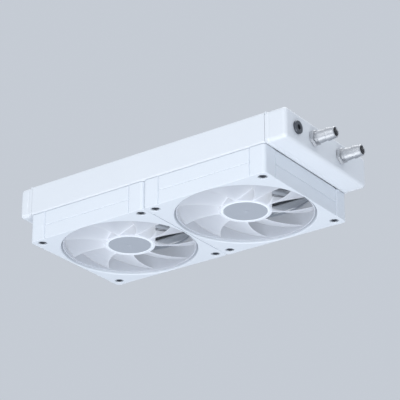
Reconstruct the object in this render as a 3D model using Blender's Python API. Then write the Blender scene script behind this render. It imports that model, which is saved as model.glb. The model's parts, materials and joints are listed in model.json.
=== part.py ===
"""A two-fan liquid cooling radiator: a finned aluminium core between two end tanks, with two fans under it.

The radiator lies flat with its fans below, as it hangs under the roof of a computer case. X runs along its
length towards the hose nipples, Y across it and Z up. The origin is the bottom centre of the whole box.
Every size is in metres. A small gap stands between pieces that touch on the real object.
"""

import math

import bmesh
import bpy
from mathutils import Matrix, Vector

MM = 0.001
GAP = 0.3 * MM  # air left between touching pieces
OVERCUT = MM  # how far a cutter runs past what it cuts
WELD = 0.002 * MM  # points nearer than this become one
SHARP = math.radians(35)  # faces that meet at more than this keep a sharp edge
ROUND_STEPS = 28  # flats round a motor part
SMALL_STEPS = 12  # flats round a hole or a shaft

# Fans
FAN_PITCH = 120 * MM
FAN_SIZE = FAN_PITCH - GAP
FAN_DEPTH = 25 * MM
FAN_COUNT = 2
HOLE_SPAN = 105 * MM
CORNER_RADIUS = 3.0 * MM
DUCT_RADIUS = 58.3 * MM
MOUTH_RADIUS = 59.1 * MM
MOUTH_DEPTH = 1.2 * MM
BASE_BOTTOM = 21.8 * MM  # motor base and struts, on the radiator side of the fan
BASE_TOP = 24.8 * MM
BASE_RADIUS = 22 * MM
BASE_FLOOR = BASE_BOTTOM + MM  # bottom of the bearing post's bore
STRUT_COUNT = 4
STRUT_WIDTH = 4 * MM
STRUT_INSET = 0.1 * MM  # a strut is this much thinner than the base on each face
STRUT_BURY = 2 * MM  # how far a strut's ends reach into the base and the frame
POST_BORE = 3.5 * MM
POST_RADIUS = 4.8 * MM
POST_BOTTOM = 8.7 * MM

# Impeller
BLADE_COUNT = 9
BLADE_BOTTOM = 3.8 * MM
BLADE_TOP = 20.2 * MM
BLADE_THICKNESS = 1.4 * MM
BLADE_BURY = 0.5 * MM  # how far a blade's ends reach into the hub and the rim
BLADE_ARC = math.radians(52)  # angle that one blade covers, 1.3 times its share of the circle
BLADE_SWEEP = math.radians(12)  # how far the blade leans round between hub and tip
HUB_RADIUS = 21.8 * MM
HUB_INNER = 20.4 * MM
HUB_WEB = 1.3 * MM
RECESS_RADIUS = 20.5 * MM  # shallow recess in the hub's face for the cap and the light ring
HUB_FACE = 3.3 * MM
HUB_END = 20.8 * MM
RIM_INNER = 56.2 * MM
RIM_OUTER = 57.2 * MM
RIM_BOTTOM = 1.8 * MM
RIM_TOP = 21.2 * MM
CAP_RADIUS = 17.9 * MM
CAP_THICKNESS = 1.2 * MM
CAP_RISE = 0.1 * MM  # how far the cap's edge lies behind the hub's face
CAP_DISH = 0.3 * MM
DIMPLE_RADIUS = 3 * MM
DIMPLE_DEPTH = 0.5 * MM

# Motor, with heights above the fan's intake face
YOKE_RADIUS = 19.8 * MM
YOKE_WALL = 1.1 * MM
YOKE_BOTTOM = 6.5 * MM
YOKE_FLOOR = 7.5 * MM
YOKE_TOP = 20 * MM
MAGNET_INNER = 16.4 * MM
MAGNET_OUTER = 18.4 * MM
MAGNET_BOTTOM = 7.8 * MM
MAGNET_TOP = 19.5 * MM
SHAFT_RADIUS = 1.5 * MM
SHAFT_TOP = 22.4 * MM
BEARING_INNER = 1.8 * MM
BEARING_OUTER = 3.2 * MM
BEARING_BOTTOM = 9 * MM
BEARING_TOP = 20.8 * MM
POLE_COUNT = 4
POLE_WIDTH = 4 * MM
CORE_NECK = 7.5 * MM  # radius of the stator's middle, where its poles start
CORE_BOTTOM = 12 * MM
CORE_TOP = 16 * MM
SHOE_INNER = 13.5 * MM
SHOE_OUTER = 15.8 * MM
SHOE_OVERHANG = 0.5 * MM  # how far a pole's shoe stands past the core at each end
SHOE_ANGLES = (36, 12, -12, -36)  # degrees each side of the pole's middle, along its outer face
COIL_INNER = 8.6 * MM
COIL_OUTER = 12.8 * MM
COIL_WIDTH = 8 * MM
COIL_BOTTOM = 9.5 * MM
COIL_TOP = 18.3 * MM
BOARD_RADIUS = 18.5 * MM
BOARD_BOTTOM = 20.4 * MM
BOARD_TOP = 21.4 * MM

# Radiator
RADIATOR_WIDTH = FAN_PITCH
RADIATOR_DEPTH = 27 * MM
RADIATOR_BOTTOM = FAN_DEPTH + GAP
RADIATOR_TOP = RADIATOR_BOTTOM + RADIATOR_DEPTH
RETURN_REACH = 13 * MM  # how far the return tank stands past the fans
PORT_REACH = 20 * MM
NIPPLE_REACH = 21 * MM
HEADER_THICKNESS = 1.6 * MM
TANK_WALL = 1.5 * MM
TANK_CORNER = 3 * MM
CAVITY_CORNER = 1.5 * MM
RAIL_THICKNESS = 1.3 * MM
RAIL_FLANGE = 12 * MM
RAIL_BEND = 2 * MM
TUBE_COUNT = 10  # an even number, so that half of them lead each way
TUBE_THICKNESS = 1.9 * MM
TUBE_WALL = 0.35 * MM
CORE_DEPTH = 17 * MM
FIN_FOLDS = 40
FIN_THICKNESS = 0.3 * MM
FIN_MARGIN = 1.5 * MM  # from a fin strip's end to the header plate
DIVIDER_THICKNESS = 1.6 * MM  # wall inside the port tank, between the two ports
PORT_SPACING = 40 * MM
PORT_HOLE_RADIUS = 5.1 * MM
PLUG_Y = -44 * MM
PLUG_HOLE_RADIUS = 4.1 * MM

# Hose nipples and fill plug, with distances from the tank's outer face
NIPPLE_BORE = 3.6 * MM
NIPPLE_SPIGOT = 4.8 * MM
SPIGOT_DEPTH = TANK_WALL + 1.2 * MM
NIPPLE_FLANGE = 7.2 * MM
NIPPLE_FLANGE_END = 2.3 * MM
NIPPLE_STEM = 4.7 * MM
BARB_COUNT = 2
BARB_RADIUS = 5.5 * MM
BARB_START = 2.4 * MM  # from the flange to the first barb
BARB_RISE = 0.6 * MM
BARB_END = 0.8 * MM  # plain stem left before the next barb
TIP_CHAMFER = 0.2 * MM
PLUG_STEM = 3.6 * MM
PLUG_DEPTH = 4 * MM
PLUG_HEAD = 5.6 * MM
PLUG_HEAD_END = 2.1 * MM
PLUG_CHAMFER = 0.5 * MM
PLUG_SOCKET = 2.2 * MM
PLUG_SOCKET_FLOOR = 0.5 * MM

# Screws
SCREW_RADIUS = 1.5 * MM
SCREW_HEAD_RADIUS = 3.0 * MM
SCREW_HEAD_BOTTOM = 0.5 * MM
SCREW_HEAD_TOP = 2.7 * MM
SCREW_CHAMFER = 0.6 * MM
SCREW_POINT = 0.9 * MM  # radius of the flat at the screw's end
SCREW_SOCKET = 1.2 * MM
SCREW_SOCKET_DEPTH = 1.4 * MM
SCREW_TIP = RADIATOR_BOTTOM + 4.3 * MM
FAN_HOLE_RADIUS = 2.2 * MM
SINK_RADIUS = 3.8 * MM  # counterbore that takes the screw head
SINK_DEPTH = 3.0 * MM
RAIL_HOLE_RADIUS = 1.8 * MM

LENGTH = RETURN_REACH + FAN_COUNT * FAN_PITCH + PORT_REACH + NIPPLE_REACH
LEFT = -LENGTH / 2
FANS_LEFT = LEFT + RETURN_REACH
FANS_RIGHT = FANS_LEFT + FAN_COUNT * FAN_PITCH
FAN_CENTRES = [FANS_LEFT + (i + 0.5) * FAN_PITCH for i in range(FAN_COUNT)]
TANK_RIGHT = FANS_RIGHT + PORT_REACH
CORE_MIDDLE = RADIATOR_BOTTOM + RADIATOR_DEPTH / 2
RETURN_HEADER_X = FANS_LEFT - HEADER_THICKNESS  # outer faces of the two header plates
PORT_HEADER_X = FANS_RIGHT + HEADER_THICKNESS


# ---------------------------------------------------------------- mesh helpers


def finished(mesh_data, name):
    """Turns a bmesh into a mesh with its faces pointing out and its round parts shaded smooth."""
    bmesh.ops.recalc_face_normals(mesh_data, faces=mesh_data.faces)
    if mesh_data.calc_volume(signed=True) < 0:
        bmesh.ops.reverse_faces(mesh_data, faces=mesh_data.faces)
    mesh = bpy.data.meshes.new(name)
    mesh_data.to_mesh(mesh)
    mesh_data.free()
    mesh.shade_smooth()
    mesh.set_sharp_from_angle(angle=SHARP)
    return mesh


def lathe(name, profile, steps, closed=False):
    """A solid turned about Z from (radius, height) points. A closed profile makes a ring."""
    work = bmesh.new()
    points = [work.verts.new((r, 0, z)) for r, z in profile]
    edges = [work.edges.new(pair) for pair in zip(points, points[1:])]
    if closed:
        edges.append(work.edges.new((points[-1], points[0])))
    bmesh.ops.spin(
        work, geom=points + edges, axis=(0, 0, 1), cent=(0, 0, 0), steps=steps, angle=math.tau,
        use_merge=True,
    )
    bmesh.ops.remove_doubles(work, verts=work.verts, dist=WELD)
    return finished(work, name)


def ring(name, inner, outer, bottom, top, steps):
    """A plain tube or washer about Z."""
    return lathe(name, [(inner, bottom), (outer, bottom), (outer, top), (inner, top)], steps, closed=True)


def cylinder(name, radius, bottom, top, steps):
    return lathe(name, [(0, bottom), (radius, bottom), (radius, top), (0, top)], steps)


def block(name, low, high, bevel=0.0, keep_sharp=None, segments=3):
    """A box between two corners. Its edges are rounded, apart from those on the face that keep_sharp picks."""
    work = bmesh.new()
    bmesh.ops.create_cube(work, size=1)
    size = Vector(high) - Vector(low)
    middle = (Vector(high) + Vector(low)) / 2
    stretched = Matrix.Translation(middle) @ Matrix.Diagonal((*size, 1))
    bmesh.ops.transform(work, matrix=stretched, verts=work.verts)
    if bevel:
        edges = [e for e in work.edges if keep_sharp is None or not all(keep_sharp(v.co) for v in e.verts)]
        bmesh.ops.bevel(work, geom=edges, offset=bevel, segments=segments, profile=0.5, affect="EDGES")
    return finished(work, name)


def extruded(name, outline, direction):
    """A prism whose end face is the outline, a list of points in order, pushed along direction."""
    work = bmesh.new()
    face = work.faces.new([work.verts.new(p) for p in outline])
    grown = bmesh.ops.extrude_face_region(work, geom=[face])
    moved = [v for v in grown["geom"] if isinstance(v, bmesh.types.BMVert)]
    bmesh.ops.translate(work, vec=direction, verts=moved)
    return finished(work, name)


def joined(name, meshes):
    """Several meshes as one, with nothing cut or merged. It is for cutters and for pieces of one union."""
    work = bmesh.new()
    for mesh in meshes:
        work.from_mesh(mesh)
        bpy.data.meshes.remove(mesh)
    return finished(work, name)


def moved(mesh, offset=(0, 0, 0), angle=0.0):
    """The mesh turned about Z, then shifted."""
    mesh.transform(Matrix.Translation(offset) @ Matrix.Rotation(angle, 4, "Z"))
    return mesh


def carved(name, base, steps):
    """The base mesh after each (operation, mesh) step, where the operation is UNION or DIFFERENCE."""
    subject = bpy.data.objects.new(name, base)
    bpy.context.scene.collection.objects.link(subject)
    helpers = []
    for operation, mesh in steps:
        helper = bpy.data.objects.new(name + "_helper", mesh)
        bpy.context.scene.collection.objects.link(helper)
        modifier = subject.modifiers.new(operation, "BOOLEAN")
        modifier.operation = operation
        modifier.solver = "EXACT"
        modifier.object = helper
        helpers.append(helper)
    bpy.context.view_layer.update()
    graph = bpy.context.evaluated_depsgraph_get()
    result = bpy.data.meshes.new_from_object(subject.evaluated_get(graph))
    result.name = name
    for thing in [subject, *helpers]:
        used = thing.data
        bpy.data.objects.remove(thing)
        bpy.data.meshes.remove(used)
    result.shade_smooth()
    result.set_sharp_from_angle(angle=SHARP)
    return result


# ---------------------------------------------------------------- materials and placing

FINISHES = {
    # name: (colour, roughness, metallic)
    "white_plastic": ((0.83, 0.86, 0.91), 0.45, 0.0),
    "frosted_plastic": ((0.80, 0.83, 0.89), 0.35, 0.0),
    "light_guide": ((0.93, 0.96, 1.0), 0.25, 0.0),
    "hub_grey": ((0.55, 0.58, 0.64), 0.4, 0.0),
    "white_paint": ((0.84, 0.87, 0.92), 0.35, 0.0),
    "core_paint": ((0.78, 0.81, 0.86), 0.5, 0.0),
    "screw_steel": ((0.22, 0.24, 0.27), 0.35, 1.0),
    "bare_steel": ((0.55, 0.56, 0.58), 0.3, 1.0),
    "bronze": ((0.60, 0.42, 0.22), 0.35, 1.0),
    "magnet": ((0.08, 0.08, 0.09), 0.6, 0.0),
    "copper": ((0.72, 0.38, 0.22), 0.35, 1.0),
    "circuit_green": ((0.06, 0.25, 0.16), 0.4, 0.0),
}


def material(name):
    """The Principled material of that finish, made once."""
    found = bpy.data.materials.get(name)
    if found:
        return found
    colour, roughness, metallic = FINISHES[name]
    made = bpy.data.materials.new(name)
    made.use_nodes = True
    shader = made.node_tree.nodes["Principled BSDF"]
    shader.inputs["Base Color"].default_value = (*colour, 1)
    shader.inputs["Roughness"].default_value = roughness
    shader.inputs["Metallic"].default_value = metallic
    return made


def place(name, mesh, finish, location=(0, 0, 0), parent=None):
    """One named piece of the object."""
    piece = bpy.data.objects.new(name, mesh)
    bpy.context.scene.collection.objects.link(piece)
    piece.location = location
    piece.parent = parent
    if not mesh.materials:
        mesh.materials.append(material(finish))
    return piece


def empty_at(name, location):
    holder = bpy.data.objects.new(name, None)
    bpy.context.scene.collection.objects.link(holder)
    holder.location = location
    return holder


# ---------------------------------------------------------------- the radiator


def rounded_slot(width, height, segments):
    """Points (across, up) of a flat tube's outline: straight sides and half-round ends."""
    radius = width / 2
    points = []
    for end in (1, -1):
        for step in range(segments + 1):
            angle = math.pi * step / segments
            up = height / 2 - radius + radius * math.sin(angle)
            points.append((end * radius * math.cos(angle), end * up))
    return points


def tube_positions():
    """The Y of each coolant tube, and the height of the fin rows between them."""
    inner = RADIATOR_WIDTH - 2 * RAIL_THICKNESS
    fin_height = (inner - TUBE_COUNT * TUBE_THICKNESS) / (TUBE_COUNT + 1)
    first = -inner / 2 + fin_height + TUBE_THICKNESS / 2
    return [first + i * (fin_height + TUBE_THICKNESS) for i in range(TUBE_COUNT)], fin_height


def flat_tube(name, left, right):
    """A coolant tube along X, open at both ends."""
    outer = rounded_slot(TUBE_THICKNESS, CORE_DEPTH, 3)
    inner = rounded_slot(TUBE_THICKNESS - 2 * TUBE_WALL, CORE_DEPTH - 2 * TUBE_WALL, 3)
    work = bmesh.new()
    loops = [[work.verts.new((x, y, z)) for y, z in line] for x in (left, right) for line in (outer, inner)]
    left_outer, left_inner, right_outer, right_inner = loops
    for first, second in (
        (left_outer, right_outer), (right_outer, right_inner), (right_inner, left_inner),
        (left_inner, left_outer),
    ):
        for i in range(len(outer)):
            j = (i + 1) % len(outer)
            work.faces.new((first[i], first[j], second[j], second[i]))
    return finished(work, name)


def fin_strip(name, left, right, height):
    """A corrugated fin: one strip of sheet folded back and forth between two tubes, with its folds along X."""
    pitch = (right - left) / FIN_FOLDS
    half = FIN_THICKNESS / 2 * math.hypot(pitch, height) / pitch  # half the sheet's height, measured along Y
    reach = height / 2 - GAP - half
    middle_line = [(left + i * pitch, reach if i % 2 else -reach) for i in range(FIN_FOLDS + 1)]
    front = [(x, y - half, -CORE_DEPTH / 2) for x, y in middle_line]
    back = [(x, y + half, -CORE_DEPTH / 2) for x, y in reversed(middle_line)]
    return extruded(name, front + back, (0, 0, CORE_DEPTH))


def make_core():
    """The coolant tubes and the fin rows between them."""
    tubes, fin_height = tube_positions()
    past = GAP + HEADER_THICKNESS  # how far a tube runs through the plate into the tank
    tube = flat_tube("coolant_tube", RETURN_HEADER_X - past, PORT_HEADER_X + past)
    for number, y in enumerate(tubes, 1):
        place(f"coolant_tube_{number:02d}", tube, "core_paint", (0, y, CORE_MIDDLE))
    fin = fin_strip("fin_strip", FANS_LEFT + FIN_MARGIN, FANS_RIGHT - FIN_MARGIN, fin_height)
    pitch = fin_height + TUBE_THICKNESS
    for number in range(1, TUBE_COUNT + 2):
        y = tubes[0] - pitch / 2 + (number - 1) * pitch
        place(f"fin_strip_{number:02d}", fin, "core_paint", (0, y, CORE_MIDDLE))


def make_header(name, left):
    """The plate that the tubes end in, with a slot for each."""
    tubes, _ = tube_positions()
    plate = block(
        name,
        (left, -RADIATOR_WIDTH / 2 + GAP, RADIATOR_BOTTOM + GAP),
        (left + HEADER_THICKNESS, RADIATOR_WIDTH / 2 - GAP, RADIATOR_TOP - GAP),
    )
    outline = rounded_slot(TUBE_THICKNESS + 2 * GAP, CORE_DEPTH + 2 * GAP, 3)
    slots = []
    for y in tubes:
        points = [(left - OVERCUT, y + across, CORE_MIDDLE + up) for across, up in outline]
        slots.append(extruded("slot", points, (HEADER_THICKNESS + 2 * OVERCUT, 0, 0)))
    place(name, carved(name, plate, [("DIFFERENCE", joined("slots", slots))]), "white_paint")


def tank_shell(name, left, right, open_at, cuts):
    """A pressed end tank: a rounded box with one open side, where the header plate closes it."""
    half = RADIATOR_WIDTH / 2
    body = block(
        name, (left, -half, RADIATOR_BOTTOM), (right, half, RADIATOR_TOP), bevel=TANK_CORNER,
        keep_sharp=lambda p: abs(p.x - open_at) < GAP / 10,
    )
    return carved(name, body, [("DIFFERENCE", cut) for cut in cuts])


def cavity(left, right, low_y, high_y):
    """Space inside a tank, with rounded edges."""
    return block(
        "cavity",
        (left, low_y, RADIATOR_BOTTOM + TANK_WALL),
        (right, high_y, RADIATOR_TOP - TANK_WALL),
        bevel=CAVITY_CORNER, segments=2,
    )


def along_x(mesh, offset):
    """A mesh turned so that its Z runs along +X, then shifted."""
    mesh.transform(Matrix.Translation(offset) @ Matrix.Rotation(math.pi / 2, 4, "Y"))
    return mesh


def make_tanks():
    """The return tank, and the port tank with its divider and its holes for the nipples and the fill plug."""
    inside = RADIATOR_WIDTH / 2 - TANK_WALL
    past = 2 * CAVITY_CORNER + OVERCUT  # the cutters' rounded ends stay clear of the open side
    opening = RETURN_HEADER_X - GAP
    cut = cavity(LEFT + TANK_WALL, opening + past, -inside, inside)
    place("return_tank", tank_shell("return_tank", LEFT, opening, opening, [cut]), "white_paint")

    opening = PORT_HEADER_X + GAP
    divider = DIVIDER_THICKNESS / 2
    cuts = [
        cavity(opening - past, TANK_RIGHT - TANK_WALL, low, high)
        for low, high in ((-inside, -divider), (divider, inside))
    ]
    for y, radius in (
        (-PORT_SPACING / 2, PORT_HOLE_RADIUS), (PORT_SPACING / 2, PORT_HOLE_RADIUS),
        (PLUG_Y, PLUG_HOLE_RADIUS),
    ):
        drill = cylinder("drill", radius, -TANK_WALL - OVERCUT, OVERCUT, 18)
        cuts.append(along_x(drill, (TANK_RIGHT, y, CORE_MIDDLE)))
    place("port_tank", tank_shell("port_tank", opening, TANK_RIGHT, opening, cuts), "white_paint")


def make_nipples():
    """The two hose nipples: a spigot through the tank wall, a flange and two barbs, bored through."""
    outline = [(NIPPLE_BORE, -SPIGOT_DEPTH), (NIPPLE_SPIGOT, -SPIGOT_DEPTH), (NIPPLE_SPIGOT, GAP),
               (NIPPLE_FLANGE, GAP), (NIPPLE_FLANGE, NIPPLE_FLANGE_END), (NIPPLE_STEM, NIPPLE_FLANGE_END)]
    first = NIPPLE_FLANGE_END + BARB_START
    pitch = (NIPPLE_REACH - first - BARB_RISE) / BARB_COUNT
    for i in range(BARB_COUNT):
        start = first + i * pitch
        outline += [(NIPPLE_STEM, start), (BARB_RADIUS, start + BARB_RISE),
                    (NIPPLE_STEM, start + pitch - BARB_END)]
    outline += [(NIPPLE_STEM, NIPPLE_REACH - TIP_CHAMFER), (NIPPLE_STEM - TIP_CHAMFER, NIPPLE_REACH),
                (NIPPLE_BORE, NIPPLE_REACH)]
    mesh = along_x(lathe("nipple", outline, 16, closed=True), (0, 0, 0))
    for name, y in (("inlet_nipple", -PORT_SPACING / 2), ("outlet_nipple", PORT_SPACING / 2)):
        place(name, mesh, "bare_steel", (TANK_RIGHT, y, CORE_MIDDLE))


def make_fill_plug():
    """The plug that closes the filling hole, with a hexagon socket in its head."""
    outline = [(0, -PLUG_DEPTH), (PLUG_STEM, -PLUG_DEPTH), (PLUG_STEM, GAP), (PLUG_HEAD, GAP),
               (PLUG_HEAD, PLUG_HEAD_END - PLUG_CHAMFER), (PLUG_HEAD - PLUG_CHAMFER, PLUG_HEAD_END),
               (0, PLUG_HEAD_END)]
    socket = cylinder("socket", PLUG_SOCKET, PLUG_SOCKET_FLOOR, PLUG_HEAD_END + OVERCUT, 6)
    mesh = carved("fill_plug", lathe("fill_plug", outline, 18), [("DIFFERENCE", socket)])
    place("fill_plug", along_x(mesh, (0, 0, 0)), "screw_steel", (TANK_RIGHT, PLUG_Y, CORE_MIDDLE))


def rail_outline(x, side):
    """The channel section of a side rail, from the tip of its lower flange round to that of the upper one."""
    web, bottom, top = RADIATOR_WIDTH / 2, RADIATOR_BOTTOM, RADIATOR_TOP
    points = []
    for inset, radius, order in ((0, RAIL_BEND, 1), (RAIL_THICKNESS, RAIL_BEND - RAIL_THICKNESS, -1)):
        edge, low, high = web - inset, bottom + inset, top - inset
        run = [(web - RAIL_FLANGE, low)]
        for centre, start in (((edge - radius, low + radius), -90), ((edge - radius, high - radius), 0)):
            for step in range(4):
                angle = math.radians(start + 30 * step)
                run.append((centre[0] + radius * math.cos(angle), centre[1] + radius * math.sin(angle)))
        run.append((web - RAIL_FLANGE, high))
        points += run[::order]
    return [(x, side * y, z) for y, z in points]


def make_rails():
    """The two side rails, with screw holes for the fans below and for the case above."""
    left, right = FANS_LEFT + GAP, FANS_RIGHT - GAP
    for name, side in (("near_rail", -1), ("far_rail", 1)):
        channel = extruded(name, rail_outline(left, side), (right - left, 0, 0))
        drills = []
        for centre in FAN_CENTRES:
            for x in (centre - HOLE_SPAN / 2, centre + HOLE_SPAN / 2):
                drill = cylinder(
                    "drill", RAIL_HOLE_RADIUS, RADIATOR_BOTTOM - OVERCUT, RADIATOR_TOP + OVERCUT, SMALL_STEPS
                )
                drills.append(moved(drill, (x, side * HOLE_SPAN / 2, 0)))
        place(name, carved(name, channel, [("DIFFERENCE", joined("drills", drills))]), "white_paint")


# ---------------------------------------------------------------- a fan


def corner_holes():
    """(x, y) of the four screw holes about the fan's centre."""
    half = HOLE_SPAN / 2
    return [(-half, -half), (half, -half), (half, half), (-half, half)]


def fan_frame_mesh():
    """The square frame with its duct, its counterbored corner holes, and the motor base on its struts."""
    half, radius = FAN_SIZE / 2, CORNER_RADIUS
    outline = []
    for quarter, (sx, sy) in enumerate(((1, 1), (-1, 1), (-1, -1), (1, -1))):
        for step in range(4):
            angle = math.radians(90 * quarter + 30 * step)
            outline.append((sx * (half - radius) + radius * math.cos(angle),
                            sy * (half - radius) + radius * math.sin(angle), 0))
    body = extruded("fan_frame", outline, (0, 0, FAN_DEPTH))

    duct = lathe(
        "duct",
        [(0, -OVERCUT), (MOUTH_RADIUS, -OVERCUT), (MOUTH_RADIUS, 0), (DUCT_RADIUS, MOUTH_DEPTH),
         (DUCT_RADIUS, FAN_DEPTH - MOUTH_DEPTH), (MOUTH_RADIUS, FAN_DEPTH),
         (MOUTH_RADIUS, FAN_DEPTH + OVERCUT), (0, FAN_DEPTH + OVERCUT)],
        48,
    )
    drills = []
    for x, y in corner_holes():
        drill = lathe(
            "drill",
            [(0, -OVERCUT), (SINK_RADIUS, -OVERCUT), (SINK_RADIUS, SINK_DEPTH), (FAN_HOLE_RADIUS, SINK_DEPTH),
             (FAN_HOLE_RADIUS, FAN_DEPTH + OVERCUT), (0, FAN_DEPTH + OVERCUT)],
            SMALL_STEPS,
        )
        drills.append(moved(drill, (x, y, 0)))

    base = lathe(
        "base",
        [(0, BASE_TOP), (BASE_RADIUS, BASE_TOP), (BASE_RADIUS, BASE_BOTTOM), (POST_RADIUS, BASE_BOTTOM),
         (POST_RADIUS, POST_BOTTOM), (POST_BORE, POST_BOTTOM), (POST_BORE, BASE_FLOOR), (0, BASE_FLOOR)],
        32,
    )
    struts = []
    for i in range(STRUT_COUNT):
        strut = block(
            "strut", (BASE_RADIUS - STRUT_BURY, -STRUT_WIDTH / 2, BASE_BOTTOM + STRUT_INSET),
            (DUCT_RADIUS + STRUT_BURY, STRUT_WIDTH / 2, BASE_TOP - STRUT_INSET),
        )
        struts.append(moved(strut, angle=math.tau * (i + 0.5) / STRUT_COUNT))
    return carved(
        "fan_frame", body,
        [("DIFFERENCE", duct), ("DIFFERENCE", joined("drills", drills)), ("UNION", joined("struts", struts)),
         ("UNION", base)],
    )


def blade_mesh(turn):
    """One blade: a ruled sheet that climbs with the angle from its lower, leading edge to its upper edge."""
    root, tip = HUB_RADIUS - BLADE_BURY, RIM_INNER + BLADE_BURY
    radii = [root, (root + tip) / 2, tip]
    chords = 3
    work = bmesh.new()
    sheets = []
    for side in (-1, 1):
        rows = []
        for radius in radii:
            lean = BLADE_SWEEP * (radius - radii[0]) / (radii[-1] - radii[0])
            climb = math.atan2(BLADE_TOP - BLADE_BOTTOM, radius * BLADE_ARC)
            offset = side * BLADE_THICKNESS / 2
            row = []
            for step in range(chords + 1):
                share = step / chords
                # The sheet is offset square to its climb, so it is as thick at the root as at the tip.
                angle = turn - lean + BLADE_ARC * share - offset * math.sin(climb) / radius
                height = BLADE_BOTTOM + (BLADE_TOP - BLADE_BOTTOM) * share + offset * math.cos(climb)
                row.append(work.verts.new((radius * math.cos(angle), radius * math.sin(angle), height)))
            rows.append(row)
        sheets.append(rows)
    low, high = sheets
    last = len(radii) - 1
    for i in range(last):
        for j in range(chords):
            for rows in sheets:
                work.faces.new((rows[i][j], rows[i][j + 1], rows[i + 1][j + 1], rows[i + 1][j]))
        for j in (0, chords):
            work.faces.new((low[i][j], low[i + 1][j], high[i + 1][j], high[i][j]))
    for j in range(chords):
        for i in (0, last):
            work.faces.new((low[i][j], low[i][j + 1], high[i][j + 1], high[i][j]))
    return finished(work, "blade")


def impeller_mesh():
    """The hub cup, the blades, and the rim that links their tips."""
    face = HUB_FACE + CAP_THICKNESS + GAP
    hub = lathe(
        "impeller",
        [(0, face), (RECESS_RADIUS, face), (RECESS_RADIUS, HUB_FACE), (HUB_RADIUS, HUB_FACE),
         (HUB_RADIUS, HUB_END), (HUB_INNER, HUB_END), (HUB_INNER, face + HUB_WEB), (0, face + HUB_WEB)],
        3 * BLADE_COUNT,
    )
    blades = joined("blades", [blade_mesh(math.tau * i / BLADE_COUNT) for i in range(BLADE_COUNT)])
    rim = ring("rim", RIM_INNER, RIM_OUTER, RIM_BOTTOM, RIM_TOP, 5 * BLADE_COUNT)
    return carved("impeller", hub, [("UNION", blades), ("UNION", rim)])


def stator_mesh():
    """The laminated core, with four poles, and the winding round each pole."""
    core = ring("stator", POST_RADIUS + GAP, CORE_NECK, CORE_BOTTOM, CORE_TOP, 24)
    arms, coils = [], []
    half, outermost = POLE_WIDTH / 2, SHOE_ANGLES[0]
    for i in range(POLE_COUNT):
        turn = math.tau * i / POLE_COUNT
        arm = block("arm", (CORE_NECK - OVERCUT, -half, CORE_BOTTOM + STRUT_INSET),
                    (SHOE_INNER + STRUT_INSET, half, CORE_TOP - STRUT_INSET))
        shoe = [(r * math.cos(a), r * math.sin(a), CORE_BOTTOM - SHOE_OVERHANG)
                for r, angles in ((SHOE_INNER, (-outermost, 0, outermost)), (SHOE_OUTER, SHOE_ANGLES))
                for a in map(math.radians, angles)]
        coil = block(
            "coil", (COIL_INNER, -COIL_WIDTH / 2, COIL_BOTTOM), (COIL_OUTER, COIL_WIDTH / 2, COIL_TOP)
        )
        pole = extruded("shoe", shoe, (0, 0, CORE_TOP - CORE_BOTTOM + 2 * SHOE_OVERHANG))
        arms += [moved(arm, angle=turn), moved(pole, angle=turn)]
        coils.append(moved(coil, angle=turn))
    steps = [("UNION", mesh) for mesh in arms] + [("UNION", joined("coils", coils))]
    return carved("stator", core, steps)


def screw_mesh():
    """A long pan-head screw with a hexagon socket, standing on its head."""
    outline = [(0, SCREW_HEAD_BOTTOM), (SCREW_HEAD_RADIUS - SCREW_CHAMFER, SCREW_HEAD_BOTTOM),
               (SCREW_HEAD_RADIUS, SCREW_HEAD_BOTTOM + SCREW_CHAMFER), (SCREW_HEAD_RADIUS, SCREW_HEAD_TOP),
               (SCREW_RADIUS, SCREW_HEAD_TOP), (SCREW_RADIUS, SCREW_TIP - SCREW_CHAMFER),
               (SCREW_POINT, SCREW_TIP), (0, SCREW_TIP)]
    socket = cylinder(
        "socket", SCREW_SOCKET, SCREW_HEAD_BOTTOM - OVERCUT, SCREW_HEAD_BOTTOM + SCREW_SOCKET_DEPTH, 6
    )
    return carved("fan_screw", lathe("fan_screw", outline, 10), [("DIFFERENCE", socket)])


def fan_meshes():
    """(name, mesh, finish) of every piece inside one fan, about the fan's axis."""
    cap_top = HUB_FACE + CAP_THICKNESS
    bore, inside = SHAFT_RADIUS + GAP, YOKE_RADIUS - YOKE_WALL
    yoke = lathe(
        "rotor_yoke",
        [(bore, YOKE_BOTTOM), (YOKE_RADIUS, YOKE_BOTTOM), (YOKE_RADIUS, YOKE_TOP), (inside, YOKE_TOP),
         (inside, YOKE_FLOOR), (bore, YOKE_FLOOR)],
        ROUND_STEPS, closed=True,
    )
    cap = lathe(
        "hub_cap",
        [(0, HUB_FACE + DIMPLE_DEPTH), (DIMPLE_RADIUS, HUB_FACE + CAP_DISH), (CAP_RADIUS, HUB_FACE + CAP_RISE),
         (CAP_RADIUS, cap_top), (0, cap_top)],
        ROUND_STEPS,
    )
    light = ring("light_ring", CAP_RADIUS + GAP, RECESS_RADIUS - GAP, HUB_FACE, cap_top, ROUND_STEPS)
    magnet = ring("magnet_ring", MAGNET_INNER, MAGNET_OUTER, MAGNET_BOTTOM, MAGNET_TOP, ROUND_STEPS)
    bearing = ring("bearing", BEARING_INNER, BEARING_OUTER, BEARING_BOTTOM, BEARING_TOP, SMALL_STEPS)
    board = ring("circuit_board", POST_RADIUS + GAP, BOARD_RADIUS, BOARD_BOTTOM, BOARD_TOP, ROUND_STEPS)
    return [
        ("frame", fan_frame_mesh(), "white_plastic"),
        ("impeller", impeller_mesh(), "frosted_plastic"),
        ("hub_cap", cap, "hub_grey"),
        ("light_ring", light, "light_guide"),
        ("rotor_yoke", yoke, "bare_steel"),
        ("magnet_ring", magnet, "magnet"),
        ("shaft", cylinder("shaft", SHAFT_RADIUS, YOKE_BOTTOM, SHAFT_TOP, SMALL_STEPS), "bare_steel"),
        ("bearing", bearing, "bronze"),
        ("stator", stator_mesh(), "copper"),
        ("circuit_board", board, "circuit_green"),
    ]


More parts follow.
